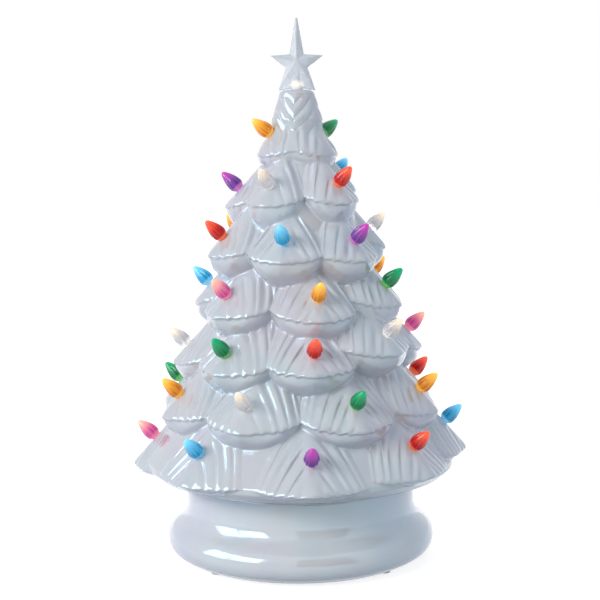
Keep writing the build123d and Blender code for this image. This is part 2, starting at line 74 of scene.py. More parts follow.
BOUGHS = (
    ((-68, -0.06, "amber"), (52, -0.06, None), (122, -0.06, "green"), (-160, -0.06, "red")),
    ((-95, -0.06, "purple"), (-28, 0, "clear"), (42, 0.03, "red"), (138, 0.2, "blue"), (-158, 0, "amber")),
    ((-131, 0.08, "amber"), (-65, 0.03, "red"), (-10, -0.02, "blue"), (42, -0.03, "purple"),
     (115, 0.1, "clear"), (170, 0.05, "green")),
    ((-105, 0.03, "blue"), (-47, -0.06, "pink"), (11, -0.08, "amber"), (64, 0.08, "green"),
     (126, 0.16, "amber"), (-170, 0.1, "purple")),
    ((-90, -0.1, "clear"), (-38, -0.06, "green"), (7, -0.02, "red"), (48, 0.24, "clear"),
     (100, 0.12, "pink"), (143, 0.1, "blue"), (-174, 0.05, "amber"), (-132, 0, "purple")),
    ((-106, 0.02, "green"), (-66, 0, "amber"), (-23, -0.02, "clear"), (24, -0.02, "green"),
     (67, 0.06, "amber"), (112, 0.05, "red"), (158, 0.02, "blue"), (-154, 0, "pink")),
    ((-90, -0.12, "pink"), (-40, 0, "blue"), (4, -0.02, "purple"), (47, 0.06, "red"),
     (90, 0.15, "blue"), (135, 0.05, "green"), (-176, 0, "clear"), (-131, -0.05, "amber")),
)
TIER_COUNT = len(BOUGHS)
reach = [SKIRT_RADIUS * share for share in REACH_SHARES]
rounding = [r * share for r, share in zip(reach, ROUND_SHARES)]
hem = [LOWEST_HEM + (TIER_COUNT - 1 - t) * TIER_PITCH for t in range(TIER_COUNT)]
CROWN_HEIGHT = hem[0] + 40.0
print("boughs:", sum(len(tier) for tier in BOUGHS), "hems:", hem)

# %% [markdown]
# ## The glazed skin
# On the real tree every bough is a soft tent: a ridge in the middle, two flanks carved with
# needle grooves, a scalloped hem, and a smooth round belly that turns in under the hem to
# meet the next tier. Glaze pools in every crease and rounds it.
#
# Sculpting could give this, but seen from the axis every point of the skin is at one distance
# in each direction and at each height. So the skin is written as that distance: a bough is
# the nearer of its belly and its tent, the tree is the farthest of its boughs and its core,
# and soft versions of nearest and farthest give the rounded hem and the filled creases.

# %% Soft nearest and farthest
HEM_SOFTNESS = (6.0, 3.0, 2.6, 2.4, 2.4, 2.4, 2.4)  # by tier
CREASE_SOFTNESS = 2.0


def soft_farthest(a, b, softness):
    """The larger of two distances, blended where they are close."""
    share = np.clip(0.5 + 0.5 * (a - b) / softness, 0, 1)
    return b + (a - b) * share + softness * share * (1 - share)


def soft_nearest(a, b, softness):
    """The smaller of two distances, blended where they are close."""
    return -soft_farthest(-a, -b, softness)


def ease(low, high, x):
    """A smooth step from 0 at low to 1 at high."""
    t = np.clip((x - low) / (high - low), 0, 1)
    return t * t * (3 - 2 * t)


# %% The core of the tree, seen in the valleys between boughs
CROWN_FOOT = (17.0, hem[0] + 21)  # radius and height, as in every profile
SKIRT_BAND_RADIUS = 103.0
SKIRT_FLOOR_RADIUS = 98.0
RIM_RADIUS = 73.5
core_profile = [(9.0, CROWN_HEIGHT), (11.4, CROWN_HEIGHT - 1.2), (12.2, CROWN_HEIGHT - 4), CROWN_FOOT]
core_profile += [(reach[t] * CORE_SHARES[t], hem[t]) for t in range(TIER_COUNT - 1)]
core_profile += [(SKIRT_BAND_RADIUS, SEAT_HEIGHT + 14), (SKIRT_BAND_RADIUS, SEAT_HEIGHT + 10)]
core_profile += [(SKIRT_FLOOR_RADIUS, SEAT_HEIGHT + 5), (RIM_RADIUS, SEAT_HEIGHT)]


def along_profile(profile, height):
    """Radius of a turned profile, given from the top down, at a height."""
    radii, heights = zip(*reversed(profile))
    return np.interp(height, heights, radii)


print("core:", core_profile[0], "to", core_profile[-1])

# %% Sizes of a bough's belly, tent and needles
BELLY_TURN_SHARE = 0.4  # of the rounding radius, how far a belly turns in
BELLY_POINT_LOSS_SHARE = 0.8  # of a belly's point, how much is gone low on the belly
BELLY_POINT_END_SHARE = 0.9  # of a belly's depth, where that much is gone
FOLLOWED_SHARE = 1.5  # of a belly's depth or a tent's size, how far it is worked out
LEAST_FACING = 0.2  # keeps a bough's point finite at its sides
NEEDLE_ANGLE = 62.0  # degrees between a needle groove and the ridge, in plan
NEEDLE_PITCH = 8.4  # along the ridge
NEEDLE_DEPTH = 2.3
NEEDLE_NARROWING = 1.5  # above 1 the grooves are narrower than the needles between them
NEEDLE_BEND = 0.012  # how fast a groove turns toward the tip
NEEDLE_EDGES = (1.5, 7.0)  # from the ridge, where a groove begins and where it is whole
NEEDLE_FADE_SHARE = 0.52  # of a groove's depth, how much is lost at the hem
NEEDLE_FADE_START_SHARE = 0.8  # of the way from peak to hem, where the loss begins
NEEDLE_WANDER_SHARE = 0.1  # of the pitch, how uneven the spacing is
NEEDLE_WANDER_RATE = 0.5  # radians for each millimetre along the ridge
NEEDLE_SWING_SHARE = 0.2  # of a groove's depth, how uneven it is
NEEDLE_SWING_RATE = 0.9  # radians for each groove
WEDGE_SOFTNESS = 2.4
CREST_WIDTH = 0.8
HEM_LIP = 1.8
HEM_LIP_EDGES = (0.6, 1.8)  # how far the tent stands out where the lip begins and is whole
BELLY_PASSES = 2
TENT_PASSES = 3


# %% One bough as a distance from the axis
def plan_distance(ahead, across, middle, radius, wedge):
    """Distance along a ray to a bough's plan, round with a blunt point, and where it is met."""
    room = radius**2 - (middle * across) ** 2
    side = middle * ahead + np.sqrt(np.maximum(room, 0))
    point = (middle + radius + WEDGE_SOFTNESS / 4) / np.maximum(ahead + wedge * across, LEAST_FACING)
    return soft_nearest(side, point, WEDGE_SOFTNESS), (room > 0) & (ahead > 0)


def bough_distance(turn, height, tier, angle, lift):
    """Distance from the axis to the skin of one bough; 0 where the bough isn't reached."""
    around = (turn - math.radians(angle) + math.pi) % (2 * math.pi) - math.pi
    ahead = np.cos(around)
    crest = CREST_WIDTH / reach[tier]
    across = np.sqrt(np.sin(around) ** 2 + crest**2) - crest
    ball = rounding[tier]
    middle = reach[tier] - ball
    above = height - hem[tier] - lift * TIER_PITCH
    rise = math.tan(math.radians(RIDGE_SLOPES[tier]))
    hem_rise = math.tan(math.radians(HEM_TILTS[tier]))
    # The belly draws in below the hem, and its point fades
    belly = np.full(above.shape, reach[tier])
    for _ in range(BELLY_PASSES):
        below = hem_rise * (reach[tier] - belly * ahead) - above
        below = np.clip(below / (BELLY_SHARES[tier] * TIER_PITCH), 0, FOLLOWED_SHARE)
        bowl = ball * (1 - BELLY_TURN_SHARE * below**2)
        lost = BELLY_POINT_LOSS_SHARE * ease(0, BELLY_POINT_END_SHARE, below)
        wedge = WEDGE_SHARES[tier] * (1 - lost)
        belly, belly_met = plan_distance(ahead, across, middle, bowl, wedge)
    # The tent draws in above the hem to its peak, with needles carved into its flanks
    back = PEAK_SHARES[tier] * ball
    peak = (ball + back) * (rise - hem_rise)
    tent = np.full(above.shape, reach[tier])
    for _ in range(TENT_PASSES):
        up = above - hem_rise * (reach[tier] - tent * ahead)
        scale = np.clip(1 - up / peak, 0, FOLLOWED_SHARE)
        tent, tent_met = plan_distance(
            ahead, across, middle - back * (1 - scale), ball * scale, WEDGE_SHARES[tier],
        )
    flank = tent * across
    slant = flank / math.tan(math.radians(NEEDLE_ANGLE)) + NEEDLE_BEND * flank**2
    needle = tent * ahead - middle - slant
    beat = needle / NEEDLE_PITCH + NEEDLE_WANDER_SHARE * np.sin(NEEDLE_WANDER_RATE * needle + angle)
    groove = -((0.5 - 0.5 * np.cos(2 * np.pi * beat)) ** NEEDLE_NARROWING)
    fade = NEEDLE_FADE_SHARE * ease(NEEDLE_FADE_START_SHARE, 1, scale)
    swing = NEEDLE_SWING_SHARE * (1 - np.sin(NEEDLE_SWING_RATE * beat + angle))
    depth = NEEDLE_DEPTH * ease(*NEEDLE_EDGES, flank) * (1 - fade) * (1 - swing)
    tent = tent + groove * depth / rise
    lip = HEM_LIP * ease(*HEM_LIP_EDGES, tent - belly)
    skin = soft_nearest(belly - lip, tent, HEM_SOFTNESS[tier])
    return np.where(belly_met & tent_met & (up < peak), np.maximum(skin, 0), 0)


# %% The whole tree as a distance from the axis
CROWN_GROOVE_PITCH = 9.0
CROWN_GROOVE_DEPTH = 1.0
CROWN_GROOVE_FALL = 15.0  # for each radian away from a ridge
CROWN_GROOVE_SHARPNESS = 0.6  # below 1 the grooves are narrower than what lies between
CROWN_GROOVE_FOOT = (hem[0] + 2, hem[0] + 12)  # where the grooves begin and are whole
CROWN_GROOVE_TOP = (CROWN_HEIGHT - 7, CROWN_HEIGHT - 3)  # where they fade and are gone
CROWN_GROOVE_EDGES = (0.05, 0.3)  # radians from a ridge
VALLEY_FOLDS = 58
VALLEY_FOLD_DEPTH = 1.3
VALLEY_WANDER = 0.6  # radians of phase that the folds drift by
VALLEY_WAVES = 3  # drifts round the tree
VALLEY_FOOT = (hem[5] - 14, hem[5] - 4)
VALLEY_TOP = (hem[2] - 16, hem[2] - 6)


def crown_grooves(turn, height):
    """Needle grooves that fall away from the top boughs over the crown."""
    angles = np.radians([bough[0] for bough in BOUGHS[0]])
    apart = [np.abs((turn - a + math.pi) % (2 * math.pi) - math.pi) for a in angles]
    nearest = np.minimum.reduce(apart)
    beat = (height + CROWN_GROOVE_FALL * nearest) / CROWN_GROOVE_PITCH
    groove = np.abs(np.sin(np.pi * beat)) ** CROWN_GROOVE_SHARPNESS - 1
    on_crown = ease(*CROWN_GROOVE_FOOT, height) * (1 - ease(*CROWN_GROOVE_TOP, height))
    return CROWN_GROOVE_DEPTH * groove * on_crown * ease(*CROWN_GROOVE_EDGES, nearest)


def valley_folds(turn, height):
    """Needle folds that run up the valleys between the boughs of the middle tiers."""
    fold = 0.5 * np.cos(VALLEY_FOLDS * turn + VALLEY_WANDER * np.sin(VALLEY_WAVES * turn)) - 0.5
    in_valleys = ease(*VALLEY_FOOT, height) * (1 - ease(*VALLEY_TOP, height))
    return VALLEY_FOLD_DEPTH * fold * in_valleys


def skin_distance(turn, height):
    """Distance from the axis to the glazed skin, in a direction and at a height."""
    turn, height = np.broadcast_arrays(turn, height)
    skin = along_profile(core_profile, height)
    skin = skin + crown_grooves(turn, height) + valley_folds(turn, height)
    for tier in range(TIER_COUNT):
        highest = hem[tier] + reach[tier] * math.tan(math.radians(RIDGE_SLOPES[tier])) + TIER_PITCH
        lowest = hem[tier] - TIER_PITCH
        if height.min() > highest or height.max() < lowest:
            continue
        for angle, lift, _ in BOUGHS[tier]:
            skin = soft_farthest(skin, bough_distance(turn, height, tier, angle, lift), CREASE_SOFTNESS)
    return skin


# %% [markdown]
# ## Rolling the skin up, tier by tier
# A potter can roll a slab of clay into a ring, and the same works here. A flat grid is rolled
# round the axis: most of its rows are pressed out to the skin, and its last rows turn over
# the top edge, run down the hollow inside and come back to the first row, so that merging
# the edges closes the ring. One ring for each tier keeps every mesh a sensible size. The
# normals come from the whole skin, so the glaze runs on over the joins.

# %% The hollow inside
SHELL_WALL = 5.0
STAR_HOLE_RADIUS = 2.6
CROWN_ROOF = 12.0
MOUTH_RADIUS = 66.0
hollow_profile = [(STAR_HOLE_RADIUS, CROWN_HEIGHT), (STAR_HOLE_RADIUS, CROWN_HEIGHT - CROWN_ROOF)]
hollow_profile += [(CROWN_FOOT[0] - SHELL_WALL, CROWN_FOOT[1])]
hollow_profile += [(reach[t] * CORE_SHARES[t] - SHELL_WALL, hem[t]) for t in range(TIER_COUNT - 1)]
hollow_profile += [(88.0, SEAT_HEIGHT + 10), (MOUTH_RADIUS, SEAT_HEIGHT + 5), (MOUTH_RADIUS, SEAT_HEIGHT)]
print("hollow:", hollow_profile[0], "to", hollow_profile[-1])


# %% Mesh helpers
def deselect_all():
    """Leave edit mode and select nothing."""
    if bpy.context.object and bpy.context.object.mode != "OBJECT":
        bpy.ops.object.mode_set(mode="OBJECT")
    bpy.ops.object.select_all(action="DESELECT")


def read_points(mesh):
    """The vertices of a mesh, a row for each."""
    points = np.empty(len(mesh.vertices) * 3)
    mesh.vertices.foreach_get("co", points)
    return points.reshape(-1, 3)


# %% Places and normals on the skin
def skin_points(turns, heights):
    """Places on the skin in metres, a row for each height."""
    radius = skin_distance(turns[None, :], heights[:, None])
    x = radius * np.sin(turns)
    y = -radius * np.cos(turns)
    z = np.broadcast_to(heights[:, None], radius.shape)
    return np.stack([x, y, z], axis=2) * MM


def skin_normals(points):
    """Outward normals of skin points, from their neighbours in the row and in the column."""
    along = np.roll(points, -1, axis=1) - np.roll(points, 1, axis=1)
    up = np.gradient(points, axis=0)
    normal = np.cross(along, up)
    return normal / np.linalg.norm(normal, axis=2, keepdims=True)


# %% Roll one ring
COLUMNS = 900
ROW_HEIGHT = 0.7
RING_MERGE = 1e-7  # metres


def roll_ring(name, low, high):
    """A closed ring of the tree between two heights, skin outside and hollow inside."""
    rows = round((high - low) / ROW_HEIGHT)
    step = (high - low) / rows
    turns = np.linspace(0, 2 * math.pi, COLUMNS, endpoint=False)
    wide = skin_points(turns, np.linspace(low - step, high + step, rows + 3))
    normals = skin_normals(wide)[1:-1]
    skin = wide[1:-1]
    between = [(r, z) for r, z in hollow_profile if low < z < high]
    inside = [(float(along_profile(hollow_profile, high)), high)] + between
    inside += [(float(along_profile(hollow_profile, low)), low)]
    loops = [
        np.stack([r * np.sin(turns), -r * np.cos(turns), np.full(COLUMNS, z)], axis=1) * MM
        for r, z in inside
    ]
    sheet = np.concatenate([skin, np.stack(loops), skin[:1]])
    last_row = len(sheet) - 1

    deselect_all()
    bpy.ops.mesh.primitive_grid_add(x_subdivisions=COLUMNS, y_subdivisions=last_row, size=1)
    ring = bpy.context.object
    ring.name = ring.data.name = name
    mesh = ring.data
    flat = read_points(mesh)
    column = np.rint((flat[:, 0] + 0.5) * COLUMNS).astype(int) % COLUMNS
    row = np.rint((flat[:, 1] + 0.5) * last_row).astype(int)
    mesh.vertices.foreach_set("co", sheet[row, column].ravel())
    outward = np.zeros_like(sheet)
    outward[: rows + 1] = normals
    outward[last_row] = normals[0]
    kept = mesh.attributes.new("outward", "FLOAT_VECTOR", "POINT")
    kept.data.foreach_set("vector", outward[row, column].ravel())

    bpy.ops.object.mode_set(mode="EDIT")
    bpy.ops.mesh.select_all(action="SELECT")
    bpy.ops.mesh.remove_doubles(threshold=RING_MERGE)
    bpy.ops.mesh.normals_make_consistent(inside=False)
    bpy.ops.object.mode_set(mode="OBJECT")
    bpy.ops.object.shade_smooth()
    outward = np.empty(len(mesh.vertices) * 3)
    mesh.attributes["outward"].data.foreach_get("vector", outward)
    mesh.normals_split_custom_set_from_vertices(outward.reshape(-1, 3))
    mesh.attributes.remove(mesh.attributes["outward"])
    return ring


# %% Roll every tier
cuts = [CROWN_HEIGHT] + [h - TIER_PITCH / 2 for h in hem[:-1]] + [SEAT_HEIGHT]
tiers = []
for tier in range(TIER_COUNT):
    ring = roll_ring(f"tree_tier_{tier + 1}", cuts[tier + 1], cuts[tier])
    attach(ring, "tree")
    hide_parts("tree_shell")
    tiers.append(ring)
    print(ring.name, len(ring.data.polygons), "faces")

# %% [markdown]
# ## The base
# The base is thrown round: a foot that bulges, a cove above it, and a neck that carries the
# tree. A turned piece is a profile spun about the axis, so its outline is drawn as edges from
# smooth curves and a few corners, and bpy.ops.mesh.spin turns it.

# %% Curves and spins
SPIN_STEPS = 192
SPIN_MERGE = 1e-6  # metres
SPIN_SMOOTH_ANGLE = 40  # degrees


def bezier(start, pull_start, pull_end, end, steps):
    """Points of a smooth curve between two ends, leaving out the first."""
    t = np.linspace(0, 1, steps + 1)[1:, None]
    a, b, c, d = (np.array(p, float) for p in (start, pull_start, pull_end, end))
    curve = a * (1 - t) ** 3 + 3 * b * t * (1 - t) ** 2 + 3 * c * t**2 * (1 - t) + d * t**3
    return [tuple(point) for point in curve]


def spin_profile(name, profile):
    """A closed profile of radius and height, in millimetres, turned about the axis."""
    deselect_all()
    bpy.ops.mesh.primitive_circle_add(vertices=len(profile), radius=1)
    piece = bpy.context.object
    piece.name = piece.data.name = name
    places = np.array([(r, 0, z) for r, z in profile]) * MM
    piece.data.vertices.foreach_set("co", places.ravel())
    bpy.ops.object.mode_set(mode="EDIT")
    bpy.ops.mesh.select_all(action="SELECT")
    bpy.ops.mesh.spin(steps=SPIN_STEPS, angle=2 * math.pi, center=(0, 0, 0), axis=(0, 0, 1))
    bpy.ops.mesh.select_all(action="SELECT")
    bpy.ops.mesh.remove_doubles(threshold=SPIN_MERGE)
    bpy.ops.mesh.normals_make_consistent(inside=False)
    bpy.ops.object.mode_set(mode="OBJECT")
    bpy.ops.object.shade_smooth_by_angle(angle=math.radians(SPIN_SMOOTH_ANGLE))
    return piece


# %% Draw the outline of the base and spin it
FOOT_HEIGHT = 1.2
base_outline = [(79.0, FOOT_HEIGHT)]
base_outline += bezier((79.0, FOOT_HEIGHT), (81.5, FOOT_HEIGHT), (82.2, 3.0), (83.6, 3.4), 6)
base_outline += bezier((83.6, 3.4), (87.4, 4.4), (89.6, 8.0), (89.6, 12.2), 12)
base_outline += bezier((89.6, 12.2), (89.6, 19.0), (85.6, 21.6), (81.8, 25.0), 12)
base_outline += bezier((81.8, 25.0), (78.4, 28.0), (76.5, 31.6), (76.5, 37.0), 10)
base_outline += bezier((76.5, 48.0), (76.5, 50.6), (76.0, 52.0), (74.0, 52.0), 5)
base_outline += [(65.5, 52.0), (65.5, 55.0), (64.5, 56.0), (61.0, 56.0), (61.0, 36.0), (59.0, 34.0)]
base_outline += [(22.0, 34.0), (22.0, 29.0), (67.0, 29.0), (70.0, 26.0), (70.0, FOOT_HEIGHT)]
base = spin_profile("base_casting", base_outline)
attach(base, "base")
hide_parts("base")
print(base.name, len(base.data.polygons), "faces")

# %% [markdown]
# ## The bulbs
# Each bulb is a little moulded lens: a collar, a pear-shaped body with fine flutes along it,
# and a blunt tip. One is modelled by extruding a circle upwards ring by ring, drawing every
# third column in for the flutes and smoothing it once. It is then copied into every hole,
# each copy with its own mesh.

# %% Sizes of a bulb
BULB_COLUMNS = 42
BULB_HEIGHT = 17.0
PEG_RADIUS = 2.5
PEG_DEPTH = 8.0
TIP_RISE = 0.35
BULB_RINGS = (  # radius and height
    (PEG_RADIUS, -PEG_DEPTH), (PEG_RADIUS, 0.0), (3.2, 0.0), (3.25, 0.6), (3.1, 1.2), (3.9, 1.7),
    (4.65, 2.9), (4.97, 4.6), (5.0, 6.0), (4.75, 7.8), (4.28, 9.6), (3.65, 11.4), (2.9, 13.2),
    (2.02, 15.0), (1.1, 16.4),
)
FLUTE_EVERY = 3  # columns
FLUTE_DRAW = 0.88
FLUTE_FOOT = 2.5
FLUTE_TOP = 13.0
# The painted shade in a flute is full up to FLUTE_DARK_TOP and fades out by FLUTE_TOP.
FLUTE_DARK_TOP = FLUTE_TOP / 3  # a flute is dark up to here and pale at its top


# %% A rod through rings
def rod_through(rings, columns, foot):
    """A disc extruded through rings of radius and height above a foot, left in edit mode."""
    radius, height = rings[0]
    deselect_all()
    bpy.ops.mesh.primitive_circle_add(
        vertices=columns, radius=radius * MM, location=(0, 0, (foot + height) * MM), fill_type="NGON",
    )
    rod = bpy.context.object
    bpy.ops.object.transform_apply(location=True)
    bpy.ops.object.mode_set(mode="EDIT")
    bpy.ops.mesh.select_all(action="SELECT")
    for next_radius, next_height in rings[1:]:
        step = (0, 0, (next_height - height) * MM)
        bpy.ops.mesh.extrude_region_move(TRANSFORM_OT_translate={"value": step})
        grow = next_radius / radius
        middle = (0, 0, (foot + next_height) * MM)
        bpy.ops.transform.resize(value=(grow, grow, 1), center_override=middle)
        radius, height = next_radius, next_height
    return rod


# %% Model one bulb
bulb = rod_through(BULB_RINGS, BULB_COLUMNS, 0.0)
bulb.name = bulb.data.name = "bulb_pattern"
bpy.ops.mesh.poke(offset=TIP_RISE * MM)
bpy.ops.mesh.select_all(action="SELECT")
bpy.ops.mesh.normals_make_consistent(inside=False)
bpy.ops.object.mode_set(mode="OBJECT")
points = read_points(bulb.data)
turn = np.rint(np.arctan2(points[:, 1], points[:, 0]) / (2 * math.pi) * BULB_COLUMNS).astype(int)
height = points[:, 2] / MM
in_flute = (turn % FLUTE_EVERY == 0) & (height > FLUTE_FOOT) & (height < FLUTE_TOP)
points[in_flute, :2] *= FLUTE_DRAW
bulb.data.vertices.foreach_set("co", points.ravel())
# Where the flutes get painted shade, full low on the bulb and fading out toward their tops.
flute_shade_mask = bulb.data.attributes.new("flute_shade_mask", "FLOAT", "POINT")
flute_shade_mask.data.foreach_set("value", in_flute * ease(FLUTE_TOP, FLUTE_DARK_TOP, height))
smoother = bulb.modifiers.new("Smooth", "SUBSURF")
smoother.levels = smoother.render_levels = 1
bpy.ops.object.modifier_apply(modifier=smoother.name)
bpy.ops.object.shade_smooth()
points = read_points(bulb.data)
along = bulb.data.attributes.new("along", "FLOAT", "POINT")
along.data.foreach_set("value", np.clip(points[:, 2] / (BULB_HEIGHT * MM), 0, 1))
print("bulb:", len(bulb.data.polygons), "faces, height", round(points[:, 2].max() / MM, 2))

# %% [markdown]
# ## Translucent lenses
# A lit lens is darkest where the plastic is thick and in its flutes, pale and bright at its
# tip, and bright again in a thin rim at its collar where light leaks out. The dark in the flutes
# is painted shade, and the pale tip and the bright rim are a painted glow, in the colour as well
# as in the glow. The mesh holds how far along the bulb each point is and where its flutes are
# shaded, and one node group turns that into the colour and the glow for every colour of bulb.

# %% Node helpers
COLOUR = "NodeSocketColor"
NUMBER = "NodeSocketFloat"


def grey(value):
    """A grey of one brightness."""
    return (value, value, value)


def new_group(name, inputs, outputs):
    """A shader node group with named sockets, and its input and output nodes."""
    group = bpy.data.node_groups.new(name, "ShaderNodeTree")
    for socket, kind in inputs:
        group.interface.new_socket(name=socket, in_out="INPUT", socket_type=kind)
    for socket, kind in outputs:
        group.interface.new_socket(name=socket, in_out="OUTPUT", socket_type=kind)
    entry = group.nodes.new("NodeGroupInput")
    exit_node = group.nodes.new("NodeGroupOutput")
    return group, entry, exit_node


def add_node(tree, kind, **values):
    """A node with its properties set, and its inputs given by name where they have that name."""
    node = tree.nodes.new(kind)
    for key, value in values.items():
        if key in node.inputs:
            node.inputs[key].default_value = value
        else:
            setattr(node, key, value)
    return node


def link(source, target):
    """Join an output socket to an input socket in the tree that holds them."""
    target.id_data.links.new(source, target)


def object_noise(tree, **values):
    """A noise texture on the object's own coordinates."""
    place = add_node(tree, "ShaderNodeTexCoord")
    noise = add_node(tree, "ShaderNodeTexNoise", **values)
    link(place.outputs["Object"], noise.inputs["Vector"])
    return noise


# %% Colour and material helpers
def ramp(tree, source, *stops):
    """A colour ramp on a value, from (place, colour) stops."""
    node = add_node(tree, "ShaderNodeValToRGB")
    elements = node.color_ramp.elements
    while len(elements) < len(stops):
        elements.new(0.5)
    for element, (place, colour) in zip(elements, stops):
        element.position = place
        element.color = (*colour, 1)
    link(source, node.inputs["Fac"])
    return node.outputs["Color"]


def mix(tree, factor, first, second, blend="MIX"):
    """A colour mix of two sockets or colours."""
    node = add_node(tree, "ShaderNodeMix", data_type="RGBA", blend_type=blend)
    for place, value in ((0, factor), (6, first), (7, second)):
        if isinstance(value, bpy.types.NodeSocket):
            link(value, node.inputs[place])
        elif isinstance(value, tuple):
            node.inputs[place].default_value = (*value, 1)
        else:
            node.inputs[place].default_value = value
    return node.outputs[2]


def new_material(name, **values):
    """A material with its Principled shader's own sockets set."""
    material = bpy.data.materials.new(name)
    material.use_nodes = True
    shader = material.node_tree.nodes["Principled BSDF"]
    for key, value in values.items():
        shader.inputs[key.replace("_", " ")].default_value = value
    return material, material.node_tree, shader


def dress(tree, shader, group, strength, height):
    """Give a shader the colour, roughness and bump of a group's outputs."""
    bump = add_node(tree, "ShaderNodeBump", Strength=strength, Distance=height)
    link(group.outputs["Colour"], shader.inputs["Base Color"])
    link(group.outputs["Roughness"], shader.inputs["Roughness"])
    link(group.outputs["Height"], bump.inputs["Height"])
    link(bump.outputs["Normal"], shader.inputs["Normal"])


# %% The glow of a lens
TIP_WANDER = 0.16  # how far the pale tip comes and goes along the bulb
lens_glow, glow_in, glow_out = new_group(
    "lens_glow",
    [("Body", COLOUR), ("Tip", COLOUR), ("Rim", COLOUR), ("Fluting", NUMBER)],
    [("Colour", COLOUR), ("Glow", COLOUR)],
)
along_node = add_node(lens_glow, "ShaderNodeAttribute", attribute_name="along")
speck = object_noise(lens_glow, Scale=260.0, Detail=3.0)
wander = add_node(lens_glow, "ShaderNodeMath", operation="MULTIPLY_ADD")
wander.inputs[1].default_value = TIP_WANDER
link(speck.outputs["Fac"], wander.inputs[0])
link(along_node.outputs["Fac"], wander.inputs[2])
tip_share = ramp(lens_glow, wander.outputs[0], (0.45, grey(0)), (1.0, grey(1)))
rim_share = ramp(lens_glow, along_node.outputs["Fac"], (0.0, grey(0.6)), (0.14, grey(0.9)), (0.22, grey(0)))
# Painted shade in the flutes, darkest low on the bulb.
flute_shade_node = add_node(lens_glow, "ShaderNodeAttribute", attribute_name="flute_shade_mask")
flute_shade = ramp(lens_glow, flute_shade_node.outputs["Fac"], (0.15, grey(1)), (0.9, grey(0.66)))
body_and_tip = mix(lens_glow, tip_share, glow_in.outputs["Body"], glow_in.outputs["Tip"])
with_flute_shade = mix(lens_glow, glow_in.outputs["Fluting"], body_and_tip, flute_shade, "MULTIPLY")
whole = mix(lens_glow, rim_share, with_flute_shade, glow_in.outputs["Rim"])
link(whole, glow_out.inputs["Colour"])
strength = ramp(
    lens_glow, wander.outputs[0],
    (0.0, grey(0.5)), (0.14, grey(0.55)), (0.3, grey(0.2)), (0.6, grey(0.34)), (1.0, grey(1)),
)
lit = mix(lens_glow, 1.0, whole, strength, "MULTIPLY")
link(lit, glow_out.inputs["Glow"])
print(lens_glow.name, len(lens_glow.nodes), "nodes")

# %% A lens of each colour
LENS_COLOURS = {  # body, tip and rim
    "red": ((0.60, 0.003, 0.003), (1.0, 0.12, 0.05), (1.0, 0.24, 0.08)),
    "green": ((0.0, 0.25, 0.085), (0.0, 0.38, 0.15), (0.22, 0.62, 0.16)),
    "blue": ((0.03, 0.44, 0.76), (0.20, 0.66, 0.90), (0.30, 0.70, 0.90)),
    "amber": ((0.88, 0.31, 0.006), (1.0, 0.60, 0.09), (1.0, 0.60, 0.14)),
    "purple": ((0.20, 0.055, 0.40), (0.50, 0.05, 0.40), (0.74, 0.24, 0.60)),
    "pink": ((0.82, 0.12, 0.42), (1.0, 0.52, 0.36), (1.0, 0.36, 0.48)),
    "clear": ((0.60, 0.60, 0.65), (0.95, 0.80, 0.62), (0.95, 0.92, 0.86)),
}


def lens_material(colour):
    """The lit plastic of one colour of bulb."""
    body, tip, rim = LENS_COLOURS[colour]
    is_clear = colour == "clear"
    material, tree, shader = new_material(
        f"{colour}_lens", Roughness=0.12, IOR=1.45, Specular_IOR_Level=0.35,
        Coat_Weight=0.15, Coat_Roughness=0.03,
        Emission_Strength=0.4 if is_clear else 0.5,
        Transmission_Weight=0.5 if is_clear else 0.2,
    )
    # Clear bulbs get less painted shade in their flutes.
    glow = add_node(
        tree, "ShaderNodeGroup", node_tree=lens_glow, Body=(*body, 1), Tip=(*tip, 1), Rim=(*rim, 1),
        Fluting=0.4 if is_clear else 1.0,
    )
    link(glow.outputs["Colour"], shader.inputs["Base Color"])
    link(glow.outputs["Glow"], shader.inputs["Emission Color"])
    return material


lenses = {colour: lens_material(colour) for colour in LENS_COLOURS}
print("lenses:", list(lenses))


# %% Where a bulb sits
BULB_SINK = 1.0  # below the ridge


def seat_matrix(tier, angle, lift):
    """The place and turn of a bulb on the ridge of its bough, square to it."""
    slope = math.radians(RIDGE_SLOPES[tier])
    turn = math.radians(angle)
    outward = Vector((math.sin(turn), -math.cos(turn), 0))
    axis = outward * math.sin(slope) + Vector((0, 0, math.cos(slope)))
    back = SETBACK_SHARES[tier] * rounding[tier]
    seat = outward * (reach[tier] - back)
    seat.z = hem[tier] + lift * TIER_PITCH + back * math.tan(slope)
    seat -= axis * BULB_SINK
    across = Vector((math.cos(turn), math.sin(turn), 0))
    turned = Matrix((across, axis.cross(across), axis)).transposed().to_4x4()
    return Matrix.Translation(seat * MM) @ turned


# %% Set a bulb in every hole
made = {}
worst = 0
for tier in range(TIER_COUNT):
    for angle, lift, colour in BOUGHS[tier]:
        if colour is None:
            continue
        made[colour] = made.get(colour, 0) + 1
        node = f"{colour}_bulb_{made[colour]}"
        lit_bulb = bpy.data.objects.new(f"lit_{node}", bulb.data.copy())
        bpy.context.scene.collection.objects.link(lit_bulb)
        lit_bulb.data.transform(seat_matrix(tier, angle, lift))
        lit_bulb.data.materials.append(lenses[colour])
        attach(lit_bulb, "tree")
        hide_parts(node)
        low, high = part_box(node)
        points = read_points(lit_bulb.data)
        corners = np.array([points.min(0), points.max(0)])
        worst = max(worst, np.abs(corners - np.array([low, high])).max())
bpy.data.objects.remove(bulb)
print("bulbs:", sum(made.values()), "largest step from the CAD bulbs, mm:", round(worst / MM, 2))

# %% [markdown]
# ## The star
# A clear star with a long blunt point stands on a peg in the crown. Its outline is a circle of
# a few sides with its corners pulled to their places. Extruding gives the edge, poking both
# faces gives the low pyramids, and a bevel rounds the corners as the mould does. The space
# between its two lower arms is filled further than on the CAD star, as the photograph shows.

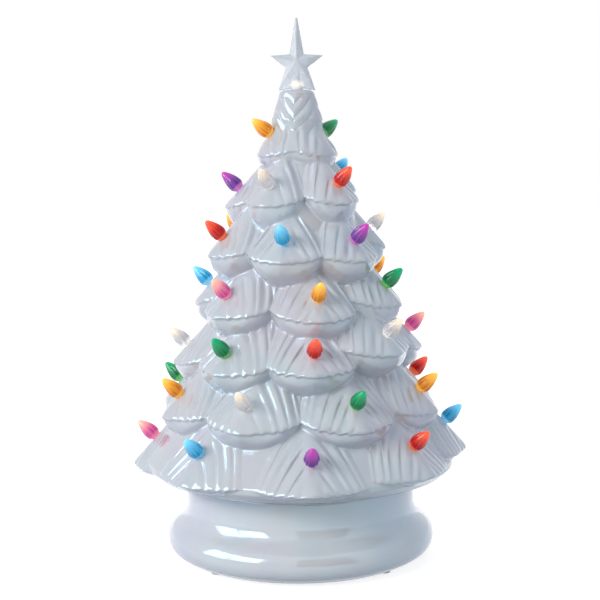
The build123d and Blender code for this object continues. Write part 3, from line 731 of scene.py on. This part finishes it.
# %% The outline of the star, and its edge
STAR_POINT = 27.5
STAR_ARM = 17.3
STAR_MIDDLE = CROWN_HEIGHT + 19.5
STAR_EDGE = 2.4
STAR_SHARES = (  # of the arm and of the point
    (0.035, 1), (0.27, 0.145), (1, 0.116), (0.405, -0.167), (0.705, -0.709), (0, -0.64),
)
half_outline = [(a * STAR_ARM, u * STAR_POINT + STAR_MIDDLE) for a, u in STAR_SHARES]
outline = half_outline + [(-a, u) for a, u in half_outline[-2::-1]]

deselect_all()
bpy.ops.mesh.primitive_circle_add(vertices=len(outline), radius=1, fill_type="NGON")
star = bpy.context.object
star.name = star.data.name = "clear_star"
places = np.array([(x, STAR_EDGE / 2, z) for x, z in outline]) * MM
star.data.vertices.foreach_set("co", places.ravel())
bpy.ops.object.mode_set(mode="EDIT")
bpy.ops.mesh.select_all(action="SELECT")
bpy.ops.mesh.extrude_region_move(TRANSFORM_OT_translate={"value": (0, -STAR_EDGE * MM, 0)})
bpy.ops.mesh.select_all(action="SELECT")
bpy.ops.mesh.normals_make_consistent(inside=False)
print("star:", len(outline), "corners")

# %% The star's pyramids and rounded corners
STAR_THICKNESS = 7.0
STAR_BEVEL = 0.45
STAR_BEVEL_SEGMENTS = 3
STAR_BEVEL_ANGLE = 12  # degrees
bpy.ops.mesh.select_mode(type="FACE")
bpy.ops.mesh.select_all(action="DESELECT")
bpy.ops.object.mode_set(mode="OBJECT")
for face in star.data.polygons:
    face.select = len(face.vertices) == len(outline)
bpy.ops.object.mode_set(mode="EDIT")
bpy.ops.mesh.poke(offset=(STAR_THICKNESS - STAR_EDGE) / 2 * MM)
bpy.ops.mesh.select_mode(type="VERT")
bpy.ops.object.mode_set(mode="OBJECT")
points = read_points(star.data)
tops = np.abs(points[:, 1]) > STAR_EDGE * MM
points[tops, 2] = STAR_MIDDLE * MM
points[tops, 0] = 0
star.data.vertices.foreach_set("co", points.ravel())
bevel = star.modifiers.new("Mould radius", "BEVEL")
bevel.width = STAR_BEVEL * MM
bevel.segments = STAR_BEVEL_SEGMENTS
bevel.limit_method = "ANGLE"
bevel.angle_limit = math.radians(STAR_BEVEL_ANGLE)
bpy.ops.object.modifier_apply(modifier=bevel.name)
print("star:", len(star.data.polygons), "faces")

# %% Add the peg and its collar
STAR_PEG_COLUMNS = 48
STAR_SMOOTH_ANGLE = 60  # degrees
STAR_PEG_RINGS = (  # radius, and height above the crown
    (PEG_RADIUS, -14.0), (PEG_RADIUS, 0.0), (4.0, 0.0), (4.0, 2.4), (3.4, 3.0), (PEG_RADIUS, 3.4),
    (PEG_RADIUS, 12.0),
)
peg = rod_through(STAR_PEG_RINGS, STAR_PEG_COLUMNS, CROWN_HEIGHT)
bpy.ops.mesh.select_all(action="SELECT")
bpy.ops.mesh.normals_make_consistent(inside=False)
bpy.ops.object.mode_set(mode="OBJECT")
joint = star.modifiers.new("Peg", "BOOLEAN")
joint.operation = "UNION"
joint.object = peg
deselect_all()
bpy.context.view_layer.objects.active = star
star.select_set(True)
bpy.ops.object.modifier_apply(modifier=joint.name)
bpy.data.objects.remove(peg)
bpy.ops.object.shade_smooth_by_angle(angle=math.radians(STAR_SMOOTH_ANGLE))
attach(star, "star")
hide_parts("star")
print("star and peg:", len(star.data.polygons), "faces")

# %% [markdown]
# ## Pearl glaze
# The glaze is a glossy white with a pearl lustre: faint lavender, rose, pale blue and cream
# drift across it, and it ripples a little so that reflections waver. A thin film on the
# shader gives the change of colour with angle.

# %% The glaze's drift and ripple
glaze_flow, flow_in, flow_out = new_group(
    "glaze_flow",
    [("White", COLOUR), ("Drift", NUMBER)],
    [("Colour", COLOUR), ("Roughness", NUMBER), ("Height", NUMBER)],
)
drift = object_noise(glaze_flow, Scale=16.0, Detail=3.0, Roughness=0.55, Distortion=0.6)
lustre = ramp(
    glaze_flow, drift.outputs["Fac"],
    (0.3, (0.90, 0.86, 1.0)), (0.42, (1.0, 0.94, 0.97)), (0.52, (0.97, 1.0, 1.0)),
    (0.62, (0.86, 0.97, 1.0)), (0.74, (0.97, 0.97, 0.92)),
)
tinted = mix(glaze_flow, 1.0, flow_in.outputs["White"], lustre, "MULTIPLY")
pearl = mix(glaze_flow, flow_in.outputs["Drift"], flow_in.outputs["White"], tinted)
link(pearl, flow_out.inputs["Colour"])
speckle = object_noise(glaze_flow, Scale=420.0, Detail=2.0)
sheen_range = add_node(glaze_flow, "ShaderNodeMapRange", **{"To Min": 0.06, "To Max": 0.13})
link(speckle.outputs["Fac"], sheen_range.inputs["Value"])
link(sheen_range.outputs["Result"], flow_out.inputs["Roughness"])
wave = object_noise(glaze_flow, Scale=70.0, Detail=2.0)
link(wave.outputs["Fac"], flow_out.inputs["Height"])
print(glaze_flow.name, len(glaze_flow.nodes), "nodes")


# %% Glaze on the tree and on the base
RIPPLE_STRENGTH = 0.35


def glaze_material(name, white, drift_share, ripple_height):
    """The pearl glaze with its own white, lustre and ripple."""
    material, tree, shader = new_material(
        name, IOR=1.8, Coat_Weight=0.8, Coat_Roughness=0.05, Coat_IOR=1.5,
        Thin_Film_Thickness=165.0, Thin_Film_IOR=1.4,
    )
    flow = add_node(
        tree, "ShaderNodeGroup", node_tree=glaze_flow, White=(*white, 1), Drift=drift_share,
    )
    dress(tree, shader, flow, RIPPLE_STRENGTH, ripple_height)
    return material


tree_glaze = glaze_material("pearl_glaze_tree", (0.665, 0.655, 0.675), 0.55, 0.0012)
base_glaze = glaze_material("pearl_glaze_base", (0.74, 0.75, 0.775), 0.45, 0.0009)
for ring in tiers:
    ring.data.materials.append(tree_glaze)
base.data.materials.append(base_glaze)
print("glazed pieces:", len(tiers) + 1)

# %% [markdown]
# ## Plastic, felt, steel and board
# The star, the lamp inside, the battery compartment and the feet are plainer stuff, but none
# of it is one flat colour. One node group makes the grain of them all: a noise that moves the
# colour between two shades and the gloss between two values, and gives a height for the bump.

# %% A fine grain
fine_grain, grain_in, grain_out = new_group(
    "fine_grain",
    [("Dark", COLOUR), ("Light", COLOUR), ("Scale", NUMBER), ("Gloss", NUMBER), ("Matt", NUMBER)],
    [("Colour", COLOUR), ("Roughness", NUMBER), ("Height", NUMBER)],
)
speck = object_noise(fine_grain, Detail=3.0)
link(grain_in.outputs["Scale"], speck.inputs["Scale"])
spread = add_node(fine_grain, "ShaderNodeMapRange", **{"From Min": 0.3, "From Max": 0.7})
link(speck.outputs["Fac"], spread.inputs["Value"])
shade = mix(fine_grain, spread.outputs["Result"], grain_in.outputs["Dark"], grain_in.outputs["Light"])
link(shade, grain_out.inputs["Colour"])
gloss_range = add_node(fine_grain, "ShaderNodeMapRange")
link(spread.outputs["Result"], gloss_range.inputs["Value"])
link(grain_in.outputs["Gloss"], gloss_range.inputs["To Min"])
link(grain_in.outputs["Matt"], gloss_range.inputs["To Max"])
link(gloss_range.outputs["Result"], grain_out.inputs["Roughness"])
link(speck.outputs["Fac"], grain_out.inputs["Height"])
print(fine_grain.name, len(fine_grain.nodes), "nodes")


# %% Grained materials and where they go
GRAIN_STRENGTH = 0.4


def grained_material(name, dark, light, scale, gloss, matt, height, **values):
    """A material with a fine grain, its tree, its shader and the socket of its colour."""
    material, tree, shader = new_material(name, **values)
    grain = add_node(
        tree, "ShaderNodeGroup", node_tree=fine_grain, Dark=(*dark, 1), Light=(*light, 1),
        Scale=scale, Gloss=gloss, Matt=matt,
    )
    dress(tree, shader, grain, GRAIN_STRENGTH, height)
    return material, tree, shader, grain.outputs["Colour"]


def place_beyond(tree, axis, limit, either_side=False):
    """1 where the object's own coordinate on an axis is past a limit, 0 elsewhere."""
    place = add_node(tree, "ShaderNodeTexCoord")
    split = add_node(tree, "ShaderNodeSeparateXYZ")
    link(place.outputs["Object"], split.inputs["Vector"])
    value = split.outputs[axis]
    if either_side:
        size = add_node(tree, "ShaderNodeMath", operation="ABSOLUTE")
        link(value, size.inputs[0])
        value = size.outputs[0]
    past = add_node(tree, "ShaderNodeMath", operation="GREATER_THAN")
    past.inputs[1].default_value = limit
    link(value, past.inputs[0])
    return past.outputs[0]


def finish_node(material, *names):
    """Give CAD nodes a material in all their slots."""
    for name in names:
        for slot in nodes[name].material_slots:
            slot.material = material


# %% Star finish, with the glow of the lamp at its foot
STAR_GLOW_HEIGHT = 3.8  # above the crown
STAR_GLOW_SQUEEZE = 1.5  # how much wider than high the glow is
STAR_GLOW_FADE = {"From Min": 0.0015, "From Max": 0.0055}  # metres from the glow's middle
star_plastic, tree, shader, _ = grained_material(
    "clear_star_plastic", (0.67, 0.72, 0.78), (0.77, 0.81, 0.88), 90.0, 0.2, 0.32, 0.0002,
    IOR=1.46, Specular_IOR_Level=0.15, Transmission_Weight=0.22, Emission_Strength=0.6,
)
place = add_node(tree, "ShaderNodeTexCoord")
squeeze = add_node(tree, "ShaderNodeVectorMath", operation="MULTIPLY")
squeeze.inputs[1].default_value = (1, 0, STAR_GLOW_SQUEEZE)
link(place.outputs["Object"], squeeze.inputs[0])
from_foot = add_node(tree, "ShaderNodeVectorMath", operation="DISTANCE")
from_foot.inputs[1].default_value = (0, 0, STAR_GLOW_SQUEEZE * (CROWN_HEIGHT + STAR_GLOW_HEIGHT) * MM)
link(squeeze.outputs["Vector"], from_foot.inputs[0])
near = add_node(tree, "ShaderNodeMapRange", **STAR_GLOW_FADE)
link(from_foot.outputs["Value"], near.inputs["Value"])
warm = ramp(
    tree, near.outputs["Result"], (0.0, (0.85, 0.66, 0.42)), (0.5, (0.36, 0.30, 0.22)), (1.0, grey(0)),
)
link(warm, shader.inputs["Emission Color"])
star.data.materials.append(star_plastic)

# %% The lamp, the battery compartment and the feet
PLAIN_FINISHES = (  # name, dark and light, scale of the grain, gloss and matt, height, metal, nodes
    ("pressed_felt", (0.70, 0.71, 0.72), (0.84, 0.85, 0.86), 900.0, 0.85, 1.0, 0.0006, 0,
     ("feet",)),
    ("white_post_plastic", (0.68, 0.68, 0.66), (0.74, 0.74, 0.72), 1400.0, 0.34, 0.48, 0.0001, 0,
     ("light_post",)),
    ("white_case_plastic", (0.62, 0.62, 0.60), (0.70, 0.70, 0.68), 1900.0, 0.42, 0.6, 0.0002, 0,
     ("battery_housing", "battery_door")),
    ("black_switch_plastic", (0.025, 0.025, 0.027), (0.05, 0.05, 0.052), 2200.0, 0.35, 0.5, 0.0001, 0,
     ("switch_body", "switch_knob")),
    ("plated_spring_steel", (0.56, 0.55, 0.53), (0.72, 0.71, 0.69), 800.0, 0.2, 0.36, 0.0001, 1,
     ("battery_contacts",)),
    ("zinc_screw_steel", (0.48, 0.48, 0.50), (0.64, 0.64, 0.66), 1100.0, 0.24, 0.44, 0.0001, 1,
     ("housing_screws",)),
)
for name, dark, light, scale, gloss, matt, height, metal, names in PLAIN_FINISHES:
    material, *_ = grained_material(name, dark, light, scale, gloss, matt, height, Metallic=metal)
    finish_node(material, *names)
    print(name, "on", names)

# %% Board and LEDs
board, tree, shader, colour = grained_material(
    "green_board", (0.03, 0.16, 0.06), (0.05, 0.21, 0.09), 700.0, 0.3, 0.42, 0.0001,
)
place = add_node(tree, "ShaderNodeTexCoord")
trace = add_node(
    tree, "ShaderNodeTexWave", wave_type="RINGS", rings_direction="Z", Scale=70.0, Distortion=1.5,
)
link(place.outputs["Object"], trace.inputs["Vector"])
on_trace = ramp(tree, trace.outputs["Fac"], (0.62, grey(0)), (0.7, grey(1)))
link(mix(tree, on_trace, colour, (0.09, 0.30, 0.13)), shader.inputs["Base Color"])
finish_node(board, "led_board")

epoxy, _, shader, colour = grained_material(
    "lit_led_epoxy", (0.90, 0.80, 0.58), (0.96, 0.88, 0.70), 500.0, 0.08, 0.16, 0.0001,
    IOR=1.5, Transmission_Weight=0.3, Emission_Strength=0.7,
)
link(colour, shader.inputs["Emission Color"])
finish_node(epoxy, "leds")
print("lamp finishes:", board.name, epoxy.name)

# %% Wires and cells
SECOND_LEAD_SIDE = 1.0  # past this on Y a lead is the black one
CELL_CAP_START = 23.4  # from the middle of a cell
jacket, tree, shader, colour = grained_material(
    "wire_jackets", (0.36, 0.02, 0.02), (0.46, 0.04, 0.035), 1500.0, 0.3, 0.44, 0.0001,
)
second_lead = place_beyond(tree, "Y", SECOND_LEAD_SIDE * MM)
link(mix(tree, second_lead, colour, (0.03, 0.03, 0.032)), shader.inputs["Base Color"])
finish_node(jacket, "wires")

cell, tree, shader, colour = grained_material(
    "cell_jacket_and_caps", (0.09, 0.10, 0.12), (0.13, 0.14, 0.16), 600.0, 0.26, 0.38, 0.0001,
)
cap = place_beyond(tree, "X", CELL_CAP_START * MM, either_side=True)
link(mix(tree, cap, colour, (0.62, 0.61, 0.59)), shader.inputs["Base Color"])
link(cap, shader.inputs["Metallic"])
finish_node(cell, "battery_cells")
print("battery finishes:", jacket.name, cell.name)

# %% [markdown]
# ## Stage, light and camera
# The background is white paper. Soft lights on the left, on the right, above and behind light
# the tree and the sky fills the shadows. The glaze mirrors the room as well: two window panes
# on the left, and behind the camera a darker wall that only reflections see. The camera
# stands level with the upper tiers, tilted a little down, as the photograph was taken. Seen
# from below the floor lets the view through, so that the underside can be looked at.

# %% Floor
FLOOR_SIZE = 12  # metres
deselect_all()
bpy.ops.mesh.primitive_plane_add(size=FLOOR_SIZE)
floor = bpy.context.object
floor.name = "floor"
paper, tree, shader = new_material("white_paper", Roughness=0.9, Emission_Color=(1, 1, 1, 1))
fibre = object_noise(tree, Scale=30.0, Detail=4.0)
paper_shade = ramp(tree, fibre.outputs["Fac"], (0.3, grey(0.40)), (0.7, grey(0.42)))
link(paper_shade, shader.inputs["Base Color"])
floor.data.materials.append(paper)
print("floor:", FLOOR_SIZE, "m")

# %% White where the floor is seen, open from below
FLOOR_WHITE = {"From Min": 0.1, "From Max": 0.7, "To Min": 0.8, "To Max": 1.0}  # by metres away


def seen_directly(tree):
    """1 for rays from the camera, mirrored ones and those let through, 0 for the rest."""
    path = add_node(tree, "ShaderNodeLightPath")
    seen = path.outputs["Is Camera Ray"]
    for ray in ("Is Glossy Ray", "Is Transmission Ray"):
        larger = add_node(tree, "ShaderNodeMath", operation="MAXIMUM")
        link(seen, larger.inputs[0])
        link(path.outputs[ray], larger.inputs[1])
        seen = larger.outputs[0]
    return seen


def mix_shaders(tree, factor, first, second):
    """A shader that goes from a first to a second one."""
    node = add_node(tree, "ShaderNodeMixShader")
    for place, socket in enumerate((factor, first, second)):
        link(socket, node.inputs[place])
    return node.outputs["Shader"]


place = add_node(tree, "ShaderNodeTexCoord")
away = add_node(tree, "ShaderNodeVectorMath", operation="LENGTH")
link(place.outputs["Object"], away.inputs[0])
whiteness = add_node(tree, "ShaderNodeMapRange", interpolation_type="SMOOTHSTEP", **FLOOR_WHITE)
link(away.outputs["Value"], whiteness.inputs["Value"])
seen_white = add_node(tree, "ShaderNodeMath", operation="MULTIPLY")
link(seen_directly(tree), seen_white.inputs[0])
link(whiteness.outputs["Result"], seen_white.inputs[1])
link(seen_white.outputs[0], shader.inputs["Emission Strength"])
under = add_node(tree, "ShaderNodeNewGeometry").outputs["Backfacing"]
open_air = add_node(tree, "ShaderNodeBsdfTransparent").outputs["BSDF"]
surface = mix_shaders(tree, under, shader.outputs["BSDF"], open_air)
link(surface, tree.nodes["Material Output"].inputs["Surface"])
print(paper.name, len(tree.nodes), "nodes")

# %% World
SKY_COLOUR = (0.88, 0.94, 1.0, 1)
SKY_STRENGTH = 0.30
world = bpy.data.worlds.new("studio")
bpy.context.scene.world = world
world.use_nodes = True
tree = world.node_tree
sky = tree.nodes["Background"]
sky.inputs["Color"].default_value = SKY_COLOUR
sky.inputs["Strength"].default_value = SKY_STRENGTH
white = add_node(tree, "ShaderNodeBackground", Color=(1, 1, 1, 1), Strength=1.0)
surface = mix_shaders(tree, seen_directly(tree), sky.outputs["Background"], white.outputs["Background"])
link(surface, tree.nodes["World Output"].inputs["Surface"])
print("world:", world.name)

# %% Lights
LIT_POINT = (0, 0, 0.17)
LAMPS = (  # name, place, width and height, watts, colour
    ("left_light", (-0.95, -0.85, 0.70), 0.9, 0.4, 12.0, (1.0, 0.99, 0.97)),
    ("right_fill", (1.1, -0.6, 0.5), 0.6, 0.9, 3.6, (0.86, 0.93, 1.0)),
    ("top_fill", (0, 0.1, 1.4), 0.9, 0.9, 2.0, (1, 1, 1)),
    ("back_fill", (0.3, 1.3, 0.75), 0.9, 0.6, 7.0, (0.97, 0.98, 1.0)),
)
PANES = (("left_pane", (-1.33, -0.33, 0.62), 0.8), ("right_pane", (-0.93, -0.84, 0.62), 0.6))
PANE_WIDTH = 0.62
PANE_POWER = 14.0  # watts for each metre of a pane's height


def window(name, place, width, height, power, colour):
    """A soft rectangular light that faces the tree."""
    light = bpy.data.lights.new(name, "AREA")
    light.shape = "RECTANGLE"
    light.size, light.size_y = width, height
    light.energy = power
    light.color = colour
    lamp = bpy.data.objects.new(name, light)
    bpy.context.scene.collection.objects.link(lamp)
    lamp.location = place
    facing = Vector(LIT_POINT) - Vector(place)
    lamp.rotation_euler = facing.to_track_quat("-Z", "Y").to_euler()
    return lamp


for name, place, width, height, power, colour in LAMPS:
    window(name, place, width, height, power, colour).visible_glossy = False
for name, place, height in PANES:
    window(name, place, PANE_WIDTH, height, PANE_POWER * height, (1, 1, 1)).visible_diffuse = False
print("lights:", len(LAMPS), "and panes:", len(PANES))

# %% A dark wall across the room
WALL_SIDES = (-0.75, 0.75)
WALL_HEIGHTS = (0.1, 1.7)
WALL_PLACE = (0.6, -1.5, 0)
WALL_TURN = 22  # degrees
deselect_all()
bpy.ops.mesh.primitive_plane_add(size=1)
wall = bpy.context.object
wall.name = "dark_wall"
turned = Matrix.Rotation(math.radians(WALL_TURN), 3, "Z")
corners = [turned @ Vector((x, 0, z)) for z in WALL_HEIGHTS for x in WALL_SIDES]
places = np.array([corner + Vector(WALL_PLACE) for corner in corners])
wall.data.vertices.foreach_set("co", places.ravel())
wall.visible_camera = wall.visible_diffuse = False
wall.visible_shadow = wall.visible_transmission = False
plaster, tree, shader = new_material("dark_plaster", Roughness=0.9)
mottle = object_noise(tree, Scale=3.0, Detail=3.0)
plaster_shade = ramp(tree, mottle.outputs["Fac"], (0.3, (0.16, 0.14, 0.13)), (0.7, (0.26, 0.24, 0.23)))
link(plaster_shade, shader.inputs["Base Color"])
wall.data.materials.append(plaster)
print("wall:", wall.name)

# %% Camera
CAMERA_PLACE = (0.0016, -0.854, 0.260)
CAMERA_PITCH = 6.0  # degrees down
CAMERA_ROLL = 0.5  # degrees
LENS = 76.9
SENSOR_WIDTH = 36.0
camera_data = bpy.data.cameras.new("camera")
camera_data.lens = LENS
camera_data.sensor_width = SENSOR_WIDTH
camera = bpy.data.objects.new("camera", camera_data)
bpy.context.scene.collection.objects.link(camera)
camera.location = CAMERA_PLACE
camera.rotation_euler = (math.radians(90 - CAMERA_PITCH), math.radians(CAMERA_ROLL), 0)
bpy.context.scene.camera = camera
bpy.context.scene.view_settings.view_transform = "Standard"
print("camera at:", CAMERA_PLACE)
